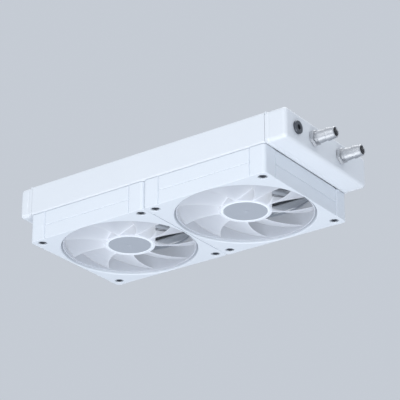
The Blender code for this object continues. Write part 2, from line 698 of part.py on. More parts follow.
def make_fans():
    """Both fans, each about an empty on its own axis, and the screws that hold them to the radiator."""
    pieces = fan_meshes()
    screw = screw_mesh()
    for number, centre in enumerate(FAN_CENTRES, 1):
        axis = empty_at(f"fan_{number}_axis", (centre, 0, 0))
        for name, mesh, finish in pieces:
            place(f"fan_{number}_{name}", mesh, finish, parent=axis)
        for corner, (x, y) in enumerate(corner_holes(), 1):
            place(f"fan_{number}_screw_{corner}", screw, "screw_steel", (x, y, 0), parent=axis)


def main():
    for thing in list(bpy.data.objects):
        bpy.data.objects.remove(thing)
    make_core()
    make_header("return_header", RETURN_HEADER_X)
    make_header("port_header", PORT_HEADER_X - HEADER_THICKNESS)
    make_tanks()
    make_nipples()
    make_fill_plug()
    make_rails()
    make_fans()
    bpy.context.view_layer.update()


main()
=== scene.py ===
"""A white two-fan liquid cooling radiator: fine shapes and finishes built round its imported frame.

The radiator lies flat with its fans below. X runs along it towards the hose nipples, Y across it and Z up.
Sizes are in metres. Shapes are worked out as whole arrays of points, and each formula is in a docstring.
"""

import json
import math

import bmesh
import bpy
import numpy as np
from bpy.props import FloatProperty, FloatVectorProperty, IntProperty, PointerProperty
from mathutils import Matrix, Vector

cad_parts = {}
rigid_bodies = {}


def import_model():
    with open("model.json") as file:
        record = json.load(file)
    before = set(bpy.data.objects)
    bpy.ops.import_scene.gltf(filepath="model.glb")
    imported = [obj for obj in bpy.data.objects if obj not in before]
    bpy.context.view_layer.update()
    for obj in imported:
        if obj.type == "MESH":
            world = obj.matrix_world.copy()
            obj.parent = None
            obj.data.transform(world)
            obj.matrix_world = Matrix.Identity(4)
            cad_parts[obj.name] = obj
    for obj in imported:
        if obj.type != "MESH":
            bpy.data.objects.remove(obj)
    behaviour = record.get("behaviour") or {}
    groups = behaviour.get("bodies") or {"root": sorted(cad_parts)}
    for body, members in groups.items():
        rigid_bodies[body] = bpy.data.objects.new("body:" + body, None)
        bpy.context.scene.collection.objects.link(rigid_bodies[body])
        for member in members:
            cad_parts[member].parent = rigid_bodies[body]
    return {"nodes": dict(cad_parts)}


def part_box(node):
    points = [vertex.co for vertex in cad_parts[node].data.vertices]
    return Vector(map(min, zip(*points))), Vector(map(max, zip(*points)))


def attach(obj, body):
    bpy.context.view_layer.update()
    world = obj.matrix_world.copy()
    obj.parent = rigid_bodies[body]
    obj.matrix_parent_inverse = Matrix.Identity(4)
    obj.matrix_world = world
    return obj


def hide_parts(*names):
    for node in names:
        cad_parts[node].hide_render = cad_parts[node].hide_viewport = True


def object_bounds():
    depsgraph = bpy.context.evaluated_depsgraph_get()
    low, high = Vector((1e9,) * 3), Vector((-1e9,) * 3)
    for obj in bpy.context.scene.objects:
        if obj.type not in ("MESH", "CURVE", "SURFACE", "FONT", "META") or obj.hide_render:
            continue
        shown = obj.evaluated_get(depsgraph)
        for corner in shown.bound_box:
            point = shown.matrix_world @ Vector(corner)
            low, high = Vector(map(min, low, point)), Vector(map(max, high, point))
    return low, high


bl_info = {
    "name": "Liquid Cooling Radiator",
    "version": (1, 0, 0),
    "blender": (4, 5, 0),
    "location": "3D View > Sidebar > Radiator",
    "description": "Builds a white two-fan liquid cooling radiator with its finishes, lights and camera",
    "category": "Add Mesh",
}

for leftover in list(bpy.data.objects):
    bpy.data.objects.remove(leftover)
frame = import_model()
CAD_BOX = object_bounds()
MIDDLE = (CAD_BOX[0] + CAD_BOX[1]) / 2

MM = 0.001
FANS = (1, 2)
CORNERS = (1, 2, 3, 4)
BODY = "radiator"
ROTOR = "fan_{}_rotor"
TUBES = sorted(name for name in frame["nodes"] if name.startswith("coolant_tube"))
FIN_STRIPS = sorted(name for name in frame["nodes"] if name.startswith("fin_strip"))
PORT_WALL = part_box("port_tank")[1].x  # the end wall that the nipples and the plug stand on
SHARP = math.radians(38)  # faces that meet at more than this keep a sharp edge
MERGE = 0.001 * MM  # points nearer than this are one point
PORT_HOLES = {"inlet_nipple": 5.0 * MM, "outlet_nipple": 5.0 * MM, "fill_plug": 3.9 * MM}
FITTING_STEPS = 72  # points round a nipple or the plug


# ---------------------------------------------------------------- what a user can change


def size_setting(name, description, default):
    """A size in metres."""
    return FloatProperty(name=name, description=description, default=default, unit="LENGTH")


def colour_setting(name, description, default):
    """A colour as linear values."""
    return FloatVectorProperty(name=name, description=description, default=default, subtype="COLOR")


def strength_setting(name, description, default):
    """The strength of a glow."""
    return FloatProperty(name=name, description=description, default=default, min=0.0, max=20.0)


class RadiatorSizes(bpy.types.PropertyGroup):
    """Sizes of the radiator's own fine shapes."""

    tank_corner: size_setting("Tank corner", "Radius of a tank's outer edges", 3.4 * MM)
    crimp_depth: size_setting("Crimp depth", "Depth of the pressed line round a tank's mouth", 0.3 * MM)
    rail_bend: size_setting("Rail bend", "Outer radius of the bends along a rail", 2.0 * MM)
    fin_spacing: size_setting("Fin spacing", "Distance from one fin to the next along a strip", 1.5 * MM)
    fin_thickness: size_setting("Fin thickness", "Thickness of the folded sheet", 0.16 * MM)


class FanSizes(bpy.types.PropertyGroup):
    """Sizes of a fan's own fine shapes."""

    blade_count: IntProperty(name="Blades", description="Number of blades", default=9, min=3, max=15)
    blade_thickness: size_setting("Blade thickness", "Greatest thickness of a blade", 1.5 * MM)
    mouth_radius: size_setting("Mouth radius", "Radius of the rounded mouth at the intake face", 59.3 * MM)
    mouth_depth: size_setting("Mouth depth", "How far the rounding reaches into the duct", 1.2 * MM)
    corner_block: size_setting("Corner block", "Length of the solid blocks at the frame's corners", 15 * MM)
    panel_inset: size_setting("Panel inset", "How far the sides stand back between the blocks", 0.22 * MM)
    groove_depth: size_setting("Groove depth", "Depth of the upright lines on the frame's sides", 1.2 * MM)
    groove_width: size_setting("Groove width", "Width of those lines at a third of their depth", 0.8 * MM)


class Finishes(bpy.types.PropertyGroup):
    """Colours of the finishes, how strongly the light ring glows, and the painted glow on the blades."""

    paint: colour_setting("Paint", "Powder coat on tanks and rails", (0.83, 0.86, 0.9))
    core_paint: colour_setting("Core paint", "Thin paint on tubes and fins", (0.88, 0.9, 0.94))
    plastic: colour_setting("Frame plastic", "Moulded plastic of the fan frames", (0.82, 0.86, 0.91))
    # the impellers' colour is kept darker than the real white plastic, since the painted glow on the blades
    # adds to it
    frosted: colour_setting("Frosted plastic", "Plastic of the impellers", (0.33, 0.35, 0.395))
    cap: colour_setting("Hub cap", "Satin disc in the middle of a fan", (0.47, 0.5, 0.55))
    glow: colour_setting("Light ring", "Milky ring round the hub cap", (0.88, 0.93, 1.0))
    glow_strength: strength_setting("Light ring strength", "How strongly the ring glows", 0.12)
    # painted glow: emission laid on the blades, which are no lamps, strongest next to the hub, and a painted
    # halo right at the hub
    blade_glow: strength_setting("Blade glow", "How strongly the blades glow next to the hub", 0.34)
    halo: strength_setting("Halo", "How much stronger the glow is right at the hub", 0.1)
    screw: colour_setting("Screw", "Dark plating of screws and plug", (0.13, 0.14, 0.16))
    metal: colour_setting("Nipple metal", "Turned metal of the hose nipples", (0.6, 0.61, 0.63))


class StageSettings(bpy.types.PropertyGroup):
    """The plain studio round the object."""

    backdrop: colour_setting("Backdrop", "Colour of the surrounding air", (0.56, 0.6, 0.66))
    floor: colour_setting("Floor", "Colour of the floor", (0.62, 0.65, 0.7))
    floor_drop: size_setting("Floor drop", "How far the floor lies below the object", 2.0)
    camera_distance: size_setting("Camera distance", "From the camera to the object's middle", 1.5438)
    lens: FloatProperty(name="Lens", description="Focal length in millimetres", default=166, min=20, max=500)


# ---------------------------------------------------------------- shapes


def node_box(name):
    """Lowest and highest corner of a node as two arrays."""
    low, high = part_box(name)
    return np.array(low), np.array(high)


def start_of(low, high, axis):
    """The middle of a box's lowest face along an axis, which is 0, 1 or 2."""
    middle = (low + high) / 2
    middle[axis] = low[axis]
    return middle


def softened(points, radius, steps=5):
    """A line of (a, b) points with its inner corners rounded.

    Each corner p becomes the quadratic curve (1-t)^2 s + 2t(1-t) p + t^2 e, where s and e lie on its two
    sides, at the radius from p or at 45% of the side if that is nearer.
    """
    points = np.asarray(points, float)
    t = np.linspace(0, 1, steps + 1)[:, None]
    parts = [points[:1]]
    for before, corner, after in zip(points, points[1:], points[2:]):
        reach_in = min(radius, 0.45 * np.linalg.norm(before - corner))
        reach_out = min(radius, 0.45 * np.linalg.norm(after - corner))
        start = corner + (before - corner) / np.linalg.norm(before - corner) * reach_in
        end = corner + (after - corner) / np.linalg.norm(after - corner) * reach_out
        parts.append((1 - t) ** 2 * start + 2 * t * (1 - t) * corner + t**2 * end)
    parts.append(points[-1:])
    return np.concatenate(parts)


def turned(profile, centre, steps=72, along="Z", factors=None):
    """A surface turned from (radius, height) points: radius times (cos, sin) of the angle, and height along.

    Factors, one row for each point and one column for each angle, stretch the radius, for a hexagon or a
    cross. Returns a grid and which of its ways round are closed.
    """
    profile = np.asarray(profile, float)
    angle = np.arange(steps) * math.tau / steps
    radius = profile[:, :1] * (np.ones((len(profile), steps)) if factors is None else factors)
    height = np.repeat(profile[:, 1:], steps, axis=1)
    across, up = radius * np.cos(angle), radius * np.sin(angle)
    order = [across, up, height] if along == "Z" else [height, across, up]
    return np.stack(order, axis=-1) + np.asarray(centre, float), (False, True)


def hexagon(steps):
    """Radius at each angle of a hexagon of apothem 1: one over the cosine of the angle to its nearest flat.

    The steps are a multiple of twelve, so that every corner gets a point.
    """
    angle = np.arange(steps) * math.tau / steps
    return 1 / np.cos((angle + math.pi / 6) % (math.pi / 3) - math.pi / 6)


def cross(steps, arm, width):
    """Radius of a cross at each angle: the further of its two bars' edges. Arm and width are half sizes."""
    angle = np.arange(steps) * math.tau / steps
    c, s = np.maximum(abs(np.cos(angle)), 1e-9), np.maximum(abs(np.sin(angle)), 1e-9)
    return np.maximum(np.minimum(arm / c, width / s), np.minimum(width / c, arm / s))


def rounded_rectangle(half_width, half_height, radius, steps=7):
    """Points round a rectangle: each corner's centre plus the radius along an angle of a quarter turn."""
    radius = np.minimum(radius, min(half_width, half_height))
    quarter = np.arange(4)[:, None]
    angle = (quarter + np.linspace(0, 1, steps + 1)) * math.pi / 2
    across = np.array([1, -1, -1, 1])[:, None] * (half_width - radius) + radius * np.cos(angle)
    up = np.array([1, 1, -1, -1])[:, None] * (half_height - radius) + radius * np.sin(angle)
    return np.stack([across, up], axis=-1).reshape(-1, 2)


def strip_grids(outer, inner, start, end, place):
    """A bent strip carried straight from start to end.

    Outer and inner are its two faces in section, point for point. The ring of both makes the long sides, and
    each end is the band between them. place(a, b, run) puts section points and distances into space.
    """
    ring = np.concatenate([outer, inner[::-1]])
    run = np.array([start, end])[:, None]
    long_sides = place(ring[None, :, 0] + 0 * run, ring[None, :, 1] + 0 * run, run + 0 * ring[None, :, 0])
    band = np.stack([outer, inner])
    caps = [place(band[..., 0], band[..., 1], np.full(band.shape[:2], at)) for at in (start, end)]
    return [(long_sides, (False, True))] + [(cap, (False, False)) for cap in caps]


def closed_ends(rows):
    """Rows of points with both ends drawn together to their middles, which closes a tube."""
    first, last = [np.repeat(rows[at].mean(0)[None, None], rows.shape[1], axis=1) for at in (0, -1)]
    return np.concatenate([first, rows, last])


def mesh_of(name, grids):
    """One mesh from grids of points. Points that meet are merged, so grids that share edges close up."""
    vertices, faces, start = [], [], 0
    for points, (rows_close, columns_close) in grids:
        rows, columns = points.shape[:2]
        index = start + np.arange(rows * columns).reshape(rows, columns)
        index = np.vstack([index, index[:1]]) if rows_close else index
        index = np.hstack([index, index[:, :1]]) if columns_close else index
        quads = np.stack([index[:-1, :-1], index[1:, :-1], index[1:, 1:], index[:-1, 1:]], -1)
        faces.append(quads.reshape(-1, 4))
        vertices.append(points.reshape(-1, 3))
        start += rows * columns
    vertices, faces = np.concatenate(vertices), np.concatenate(faces)
    mesh = bpy.data.meshes.new(name)
    mesh.vertices.add(len(vertices))
    mesh.vertices.foreach_set("co", vertices.astype(np.float32).ravel())
    mesh.loops.add(faces.size)
    mesh.loops.foreach_set("vertex_index", faces.astype(np.int32).ravel())
    mesh.polygons.add(len(faces))
    mesh.polygons.foreach_set("loop_start", np.arange(0, faces.size, 4, dtype=np.int32))
    mesh.update(calc_edges=True)
    work = bmesh.new()
    work.from_mesh(mesh)
    bmesh.ops.remove_doubles(work, verts=work.verts, dist=MERGE)
    bmesh.ops.recalc_face_normals(work, faces=work.faces)
    work.to_mesh(mesh)
    work.free()
    return mesh


def piece(name, grids, finish, body, replaced=(), holes=None):
    """A finished piece in place: it rides on its body and stands for the nodes that it replaces."""
    made = bpy.data.objects.new(name, mesh_of(name, grids))
    bpy.context.scene.collection.objects.link(made)
    if holes:
        cut(made, mesh_of(name + "_holes", holes))
    made.data.shade_smooth()
    made.data.set_sharp_from_angle(angle=SHARP)
    made.data.materials.clear()
    made.data.materials.append(finish)
    level = made.modifiers.new("Flat faces stay flat", "WEIGHTED_NORMAL")
    level.keep_sharp = True
    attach(made, body)
    if replaced:
        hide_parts(*replaced)
    return made


def cut(made, holes):
    """Takes the solids in the holes' mesh out of a piece, for good."""
    cutter = bpy.data.objects.new("holes", holes)
    bpy.context.scene.collection.objects.link(cutter)
    modifier = made.modifiers.new("Holes", "BOOLEAN")
    modifier.operation = "DIFFERENCE"
    modifier.solver = "EXACT"
    modifier.object = cutter
    bpy.context.view_layer.update()
    graph = bpy.context.evaluated_depsgraph_get()
    result = bpy.data.meshes.new_from_object(made.evaluated_get(graph))
    made.modifiers.clear()
    old, made.data = made.data, result
    bpy.data.objects.remove(cutter)
    for used in (old, holes):
        bpy.data.meshes.remove(used)


def refinish(nodes, finish):
    """Gives nodes whose shape is right a better material."""
    for name in nodes:
        for material_slot in frame["nodes"][name].material_slots:
            material_slot.material = finish


# ---------------------------------------------------------------- finishes


def group_of(name, inputs, outputs, fill):
    """A shader node group, made once. Inputs and outputs map each socket's name to its kind and default."""
    found = bpy.data.node_groups.get(name)
    if found:
        return found
    group = bpy.data.node_groups.new(name, "ShaderNodeTree")
    for way, sockets in (("INPUT", inputs), ("OUTPUT", outputs)):
        for socket_name, (kind, default) in sockets.items():
            socket = group.interface.new_socket(socket_name, in_out=way, socket_type="NodeSocket" + kind)
            if default is not None:
                socket.default_value = default
    enter, leave = group.nodes.new("NodeGroupInput"), group.nodes.new("NodeGroupOutput")
    fill(group, enter.outputs, leave.inputs)
    return group


def node(tree, kind, links=None, **settings):
    """A node with its settings. Links maps its inputs, by name or number, to outputs or plain values."""
    made = tree.nodes.new("ShaderNode" + kind)
    for key, value in settings.items():
        setattr(made, key, value)
    for socket, value in (links or {}).items():
        if isinstance(value, bpy.types.NodeSocket):
            tree.links.new(value, made.inputs[socket])
        else:
            made.inputs[socket].default_value = value
    return made


def maths(tree, operation, *values):
    """What a Math node makes of plain values or other nodes' outputs."""
    return node(tree, "Math", dict(enumerate(values)), operation=operation).outputs[0]


def noise(tree, scale, detail):
    """A soft noise over the piece, from 0 to 1."""
    place = node(tree, "TexCoord").outputs["Object"]
    return node(tree, "TexNoise", {"Vector": place, "Scale": scale, "Detail": detail}).outputs[0]


def distance_from(tree, centre, along):
    """How far a point of the piece is from the centre, counted only along the ways that along keeps."""
    place = node(tree, "TexCoord").outputs["Object"]
    offset = node(tree, "VectorMath", {0: place, 1: centre}, operation="SUBTRACT").outputs[0]
    kept = node(tree, "VectorMath", {0: offset, 1: along}, operation="MULTIPLY").outputs[0]
    return node(tree, "VectorMath", {0: kept}, operation="LENGTH").outputs["Value"]


def tone_drift():
    """Colour times one minus Amount times a soft noise whose patches are Size across."""

    def fill(tree, given, wanted):
        """Links the group's given sockets to the wanted ones, as each fill below does."""
        patches = noise(tree, maths(tree, "DIVIDE", 1.0, given["Size"]), 3.0)
        keep = maths(tree, "SUBTRACT", 1.0, maths(tree, "MULTIPLY", patches, given["Amount"]))
        scaled = node(tree, "VectorMath", {0: given["Colour"], "Scale": keep}, operation="SCALE").outputs[0]
        tree.links.new(scaled, wanted["Colour"])

    return group_of(
        "Tone drift",
        {"Colour": ("Color", (0.8, 0.8, 0.8, 1)), "Amount": ("Float", 0.05), "Size": ("Float", 0.04)},
        {"Colour": ("Color", None)}, fill,
    )


def fine_grain():
    """Height is a fine noise plus half of a coarser one. Roughness runs from Low to High with a third."""

    def fill(tree, given, wanted):
        scale = maths(tree, "DIVIDE", 1.0, given["Size"])
        fine = noise(tree, scale, 2.0)
        coarse = noise(tree, maths(tree, "MULTIPLY", scale, 0.22), 1.0)
        tree.links.new(maths(tree, "MULTIPLY_ADD", coarse, 0.5, fine), wanted["Height"])
        patches = {"Value": noise(tree, 70.0, 3.0), "From Min": 0.3, "From Max": 0.7}
        rough = node(tree, "MapRange", patches | {"To Min": given["Low"], "To Max": given["High"]}).outputs[0]
        tree.links.new(rough, wanted["Roughness"])

    return group_of(
        "Fine grain",
        {"Size": ("Float", 0.0006), "Low": ("Float", 0.35), "High": ("Float", 0.5)},
        {"Height": ("Float", None), "Roughness": ("Float", None)}, fill,
    )


def turning_lines():
    """Height is the sine of the distance from Centre, along the ways that Along keeps, over Pitch."""

    def fill(tree, given, wanted):
        turns = maths(tree, "DIVIDE", distance_from(tree, given["Centre"], given["Along"]), given["Pitch"])
        tree.links.new(maths(tree, "SINE", maths(tree, "MULTIPLY", turns, math.tau)), wanted["Height"])

    return group_of(
        "Turning lines",
        {"Centre": ("Vector", (0, 0, 0)), "Along": ("Vector", (1, 1, 0)), "Pitch": ("Float", 0.0005)},
        {"Height": ("Float", None)}, fill,
    )


def hub_glow():
    """Strength is Peak at Radius from the axis through Centre, and falls by e with each Reach further out.

    It is painted light: an emission on the blades that stands for the light of the hub's small lamps running
    out along them, and lightens the blades where they lie in shade.
    """

    def fill(tree, given, wanted):
        past = maths(tree, "SUBTRACT", given["Radius"], distance_from(tree, given["Centre"], (1, 1, 0)))
        fall = maths(tree, "POWER", math.e, maths(tree, "DIVIDE", past, given["Reach"]))
        strength = maths(tree, "MULTIPLY", maths(tree, "MINIMUM", fall, 1.0), given["Peak"])
        tree.links.new(strength, wanted["Strength"])

    return group_of(
        "Painted hub glow",
        {"Centre": ("Vector", (0, 0, 0)), "Radius": ("Float", 0.02), "Reach": ("Float", 0.02),
         "Peak": ("Float", 0.3)},
        {"Strength": ("Float", None)}, fill,
    )


def placed_group(tree, group, links=None):
    """A node group put into a material."""
    made = node(tree, "Group", node_tree=group)
    for socket, value in (links or {}).items():
        made.inputs[socket].default_value = value
    return made.outputs


def finish_of(name, colour, drift=(0.05, 0.04), grain=(0.0006, 0.35, 0.5), bump=0.1, depth=0.02 * MM,
              lines=None, **shader_values):
    """A finish made once: drifting tone, grain in roughness and bump, and turning lines if they are given."""
    found = bpy.data.materials.get(name)
    if found:
        return found
    made = bpy.data.materials.new(name)
    made.use_nodes = True
    made.diffuse_color = (*colour, 1)
    tree = made.node_tree
    shader = tree.nodes["Principled BSDF"]
    for socket, value in shader_values.items():
        shader.inputs[socket.replace("_", " ").title()].default_value = value
    amount, size = drift
    tone = placed_group(tree, tone_drift(), {"Colour": (*colour, 1), "Amount": amount, "Size": size})
    tree.links.new(tone["Colour"], shader.inputs["Base Color"])
    cell, low, high = grain
    texture = placed_group(tree, fine_grain(), {"Size": cell, "Low": low, "High": high})
    tree.links.new(texture["Roughness"], shader.inputs["Roughness"])
    height = texture["Height"]
    if lines:
        centre, along, pitch, share = lines
        ridges = placed_group(tree, turning_lines(), {"Centre": centre, "Along": along, "Pitch": pitch})
        height = maths(tree, "MULTIPLY_ADD", ridges["Height"], share, height)
    relief = node(tree, "Bump", {"Strength": bump, "Distance": depth, "Height": height})
    tree.links.new(relief.outputs["Normal"], shader.inputs["Normal"])
    return made


def powder_coat():
    """White powder coat: a soft orange peel under a satin gloss."""
    return finish_of("Powder coat", finishes().paint, drift=(0.05, 0.06), grain=(0.0011, 0.3, 0.42),
                     bump=0.35, depth=0.05 * MM, coat_weight=0.25, coat_roughness=0.3)


def core_paint():
    """Thin white paint over folded and rolled sheet, with faint louvre lines across the height."""
    return finish_of("Core paint", finishes().core_paint, drift=(0.07, 0.012), grain=(0.0005, 0.42, 0.6),
                     bump=0.4, depth=0.06 * MM, lines=((0, 0, 0), (0, 0, 1), 1.1 * MM, 0.8))


def frame_plastic():
    """White moulded plastic with a fine spark-eroded grain."""
    return finish_of("Frame plastic", finishes().plastic, drift=(0.04, 0.05), grain=(0.00045, 0.38, 0.52),
                     bump=0.3, depth=0.03 * MM)


def frosted_plastic(fan, centre):
    """Milky plastic with a painted glow: emission laid on the blades, which are no lamps, standing for the
    hub lamps' light and lightening the blades where they lie in shade.
    """
    made = finish_of(f"Frosted plastic {fan}", finishes().frosted, drift=(0.06, 0.03),
                     grain=(0.0007, 0.34, 0.46), bump=0.15, depth=0.02 * MM, subsurface_weight=0.85,
                     subsurface_radius=(1, 1, 1), subsurface_scale=0.006, emission_strength=1.0)
    tree = made.node_tree
    # painted glow: emission on the blades, strongest next to the hub and fading over a long reach, plus a
    # painted halo right at the hub
    at_hub = {"Centre": tuple(centre), "Radius": 22 * MM}
    wide = placed_group(tree, hub_glow(), at_hub | {"Reach": 70 * MM, "Peak": finishes().blade_glow})
    near = placed_group(tree, hub_glow(), at_hub | {"Reach": 3 * MM, "Peak": finishes().halo})
    lit = maths(tree, "ADD", wide["Strength"], near["Strength"])
    glow = node(tree, "VectorMath", {0: tuple(finishes().glow), "Scale": lit}, operation="SCALE").outputs[0]
    tree.links.new(glow, tree.nodes["Principled BSDF"].inputs["Emission Color"])
    return made


def cap_finish(fan, centre):
    """Satin grey disc with very fine turned rings."""
    return finish_of(f"Hub cap satin {fan}", finishes().cap, drift=(0.06, 0.01), grain=(0.0004, 0.32, 0.42),
                     bump=0.25, depth=0.02 * MM, lines=(tuple(centre), (1, 1, 0), 0.45 * MM, 0.9))


def ring_finish():
    """Milky light guide with a faint glow of its own."""
    glow = (*finishes().glow, 1)
    return finish_of("Light guide", finishes().glow, drift=(0.03, 0.02), grain=(0.0008, 0.2, 0.3), bump=0.05,
                     emission_color=glow, emission_strength=finishes().glow_strength, subsurface_weight=0.5,
                     subsurface_radius=(1, 1, 1), subsurface_scale=0.002)


def dark_plating():
    """Dark zinc plating on the screws and the fill plug."""
    return finish_of("Dark plating", finishes().screw, drift=(0.2, 0.002), grain=(0.0003, 0.28, 0.45),
                     bump=0.2, metallic=0.85)


def rubber():
    """Black rubber of the seals."""
    return finish_of("Seal rubber", (0.025, 0.025, 0.028), drift=(0.2, 0.002), grain=(0.0003, 0.6, 0.8),
                     bump=0.3)


def turned_metal():
    """Turned aluminium, with tool lines along X."""
    return finish_of("Turned aluminium", finishes().metal, drift=(0.05, 0.006), grain=(0.0004, 0.42, 0.5),
                     bump=0.06, depth=0.01 * MM, lines=((0, 0, 0), (1, 0, 0), 0.28 * MM, 0.4), metallic=1.0)


def motor_finishes():
    """The finishes inside a motor, by the last words of a node's name."""
    upright = ((0, 0, 0), (0, 0, 1))
    return {
        "rotor_yoke": finish_of(
            "Pressed steel", (0.5, 0.51, 0.53), drift=(0.15, 0.01), grain=(0.0004, 0.25, 0.4), metallic=1.0),
        "shaft": finish_of(
            "Ground steel", (0.62, 0.63, 0.65), drift=(0.06, 0.003), grain=(0.0002, 0.12, 0.22),
            lines=(*upright, 0.2 * MM, 0.6), metallic=1.0),
        "magnet_ring": finish_of(
            "Bonded ferrite", (0.05, 0.05, 0.055), drift=(0.3, 0.004), grain=(0.0003, 0.5, 0.7), bump=0.4),
        "bearing": finish_of(
            "Sintered bronze", (0.5, 0.33, 0.16), drift=(0.3, 0.001), grain=(0.00015, 0.3, 0.5), bump=0.4,
            metallic=1.0),
        "stator": finish_of(
            "Enamelled copper", (0.6, 0.26, 0.12), drift=(0.2, 0.003), grain=(0.0003, 0.25, 0.4), bump=0.6,
            depth=0.08 * MM, lines=(*upright, 0.32 * MM, 0.9), metallic=0.8),
        "circuit_board": finish_of(
            "Solder mask", (0.03, 0.16, 0.1), drift=(0.3, 0.003), grain=(0.0003, 0.2, 0.35), coat_weight=0.5),
    }


def finishes():
    """The colours and strengths that a user can change."""
    return bpy.context.scene.radiator_finishes


# ---------------------------------------------------------------- the radiator's pieces


def tank_grids(low, high, mouth_at_high, corner, crimp):
    """A pressed tank: rounded rectangles carried along X.

    Going from the end wall to the mouth, the rectangle's inset falls from half its height, where the wall is
    closed, to nothing along a quarter circle. It dips by the crimp in a bell curve near the mouth. The inner
    wall follows it back, one wall thickness further in.
    """
    wall, lip, lip_depth = 1.5 * MM, 0.28 * MM, 2.1 * MM
    crimp_back, crimp_half = 3.6 * MM, 0.7 * MM
    half = (high - low) / 2
    length = high[0] - low[0]
    turn = np.linspace(0, math.pi / 2, 9)
    quarter = np.stack([1 - np.cos(turn), 1 - np.sin(turn)], -1)
    run = np.linspace(corner + 0.4 * MM, length - 1.6 * MM, 21)
    side = np.stack([run, crimp * np.exp(-(((run - length + crimp_back) / crimp_half) ** 2))], -1)
    mouth = softened([(length - 1.2 * MM, 0), (length, 0), (length, lip)], 0.12 * MM, 3)
    outer = np.concatenate([[(0, half[2])], corner * quarter, side, mouth])
    step = [(length - lip_depth, lip), (length - lip_depth, wall)]
    inner = np.concatenate([step, wall + (corner - wall) * quarter[::-1], [(wall, half[2])]])
    rings = []
    for depth, inset in np.concatenate([outer, inner]):
        ring = rounded_rectangle(half[1] - inset, half[2] - inset, max(corner - inset, 0.4 * MM))
        rings.append(np.column_stack([np.full(len(ring), depth), ring]))
    points = np.stack(rings)
    points[..., 0] = low[0] + points[..., 0] if mouth_at_high else high[0] - points[..., 0]
    points[..., 1:] += (low[1:] + high[1:]) / 2
    return [(points, (False, True))]


def channel_section(half_width, low, high, flange, thickness, bend):
    """The two faces of a C-shaped strip, point for point: flange, quarter-circle bend, web, bend, flange."""
    faces = []
    for inset, radius in ((0, bend), (thickness, bend - thickness)):
        turn = np.linspace(0, math.pi / 2, 8)
        edge, bottom, top = half_width - inset, low + inset, high - inset
        lower = np.stack([edge - radius + radius * np.sin(turn), bottom + radius - radius * np.cos(turn)], -1)
        upper = np.stack([edge - radius + radius * np.cos(turn), top - radius + radius * np.sin(turn)], -1)
        tips = [[(half_width - flange, bottom)], lower, upper, [(half_width - flange, top)]]
        faces.append(np.concatenate(tips))
    return faces


def fin_section(left, right, half_height, spacing, thickness):
    """The two faces of a folded sheet, point for point.

    The middle line is a sine of X, divided by sqrt(sine^2 + bend) and scaled back to its height, so that the
    folds have upright sides and round bends. The faces stand half a thickness to each side, square to it.
    """
    steps, bend = 7, 0.12
    folds = 2 * round((right - left) / (2 * spacing))
    x = np.linspace(left, right, folds * steps + 1)
    wave = np.sin(np.linspace(0, folds * math.pi, len(x)))
    y = (half_height - thickness) * wave / np.sqrt(wave**2 + bend) * math.sqrt(1 + bend)
    slope = np.gradient(y, x)
    across = np.stack([-slope, np.ones_like(slope)], -1) / np.sqrt(1 + slope**2)[:, None]
    line = np.stack([x, y], -1)
    return line + across * thickness / 2, line - across * thickness / 2


def nipple_grids(low, high):
    """A hose nipple turned about X: a hexagon flange, two barbs that taper outwards, and a bore."""
    length, wall = high[0] - low[0], PORT_WALL - low[0]
    bore, spigot, stem, barb = 3.6 * MM, 4.8 * MM, 4.6 * MM, 5.5 * MM
    seal, flange, chamfer, edge = 0.05 * MM, 3.4 * MM, 0.4 * MM, 0.5 * MM
    first_barb, bare_end, barbs = 2.4 * MM, 0.8 * MM, 2
    apothem = (high[1] - low[1]) / 2 * math.cos(math.pi / 6)
    flange_start, flange_end = wall + seal, wall + flange
    outline = [(bore, 0), (spigot, 0), (spigot, flange_start), (apothem - edge, flange_start),
               (apothem, flange_start + chamfer), (apothem, flange_end - chamfer),
               (apothem - edge, flange_end), (stem, flange_end)]
    pitch = (length - flange_end - first_barb - bare_end) / barbs
    for start in flange_end + first_barb + pitch * np.arange(barbs):
        outline += [(stem, start), (barb - 0.1 * MM, start + 0.15 * MM), (barb, start + edge),
                    (stem, start + pitch - edge)]
    outline += [(stem, length - edge), (stem - chamfer, length), (bore + 0.3 * MM, length),
                (bore, length - chamfer), (bore, 0)]
    factors = np.ones((len(outline), FITTING_STEPS))
    factors[4:6] = hexagon(FITTING_STEPS)
    factors[[3, 6]] = 1 + (hexagon(FITTING_STEPS) - 1) * 0.25
    return [turned(outline, start_of(low, high, 0), FITTING_STEPS, "X", factors)]


def seal_grids(low, high):
    """A rubber ring squeezed under a fitting's flange: its section is half a circle that bulges outwards."""
    width, bulge = 0.3 * MM, 0.3 * MM
    middle = (low + high) / 2
    reach = (high[1] - low[1]) / 2 * math.cos(math.pi / 6) - 0.5 * MM
    turn = np.linspace(-math.pi / 2, math.pi / 2, 9)
    round_side = np.stack([reach + bulge * np.cos(turn), width / 2 * (1 + np.sin(turn))], -1)
    profile = np.concatenate([[(reach - MM, 0)], round_side, [(reach - MM, width), (reach - MM, 0)]])
    return [turned(profile, (PORT_WALL, middle[1], middle[2]), 64, "X")]


def plug_grids(low, high):
    """The fill plug turned about X: a low round head with a hexagon socket, on a stem."""
    length, widest, under = high[0] - low[0], (high[1] - low[1]) / 2, PORT_WALL - low[0] + 0.05 * MM
    socket, socket_depth, stem = 2.1 * MM, 1.7 * MM, 3.6 * MM
    head = softened([(socket + 0.5 * MM, length), (widest, length), (widest, under)], 0.7 * MM, 6)
    outline = np.concatenate([
        [(0, length - socket_depth), (socket, length - socket_depth), (socket, length - 0.25 * MM)], head,
        [(stem, under), (stem, 0), (0, 0)],
    ])
    factors = np.ones((len(outline), FITTING_STEPS))
    factors[1:3] = hexagon(FITTING_STEPS)
    return [turned(outline, start_of(low, high, 0), FITTING_STEPS, "X", factors)]


# ---------------------------------------------------------------- the fans' pieces


def fan_centre(fan):
    """The point on a fan's axis at its intake face."""
    return start_of(*node_box(f"fan_{fan}_frame"), 2)


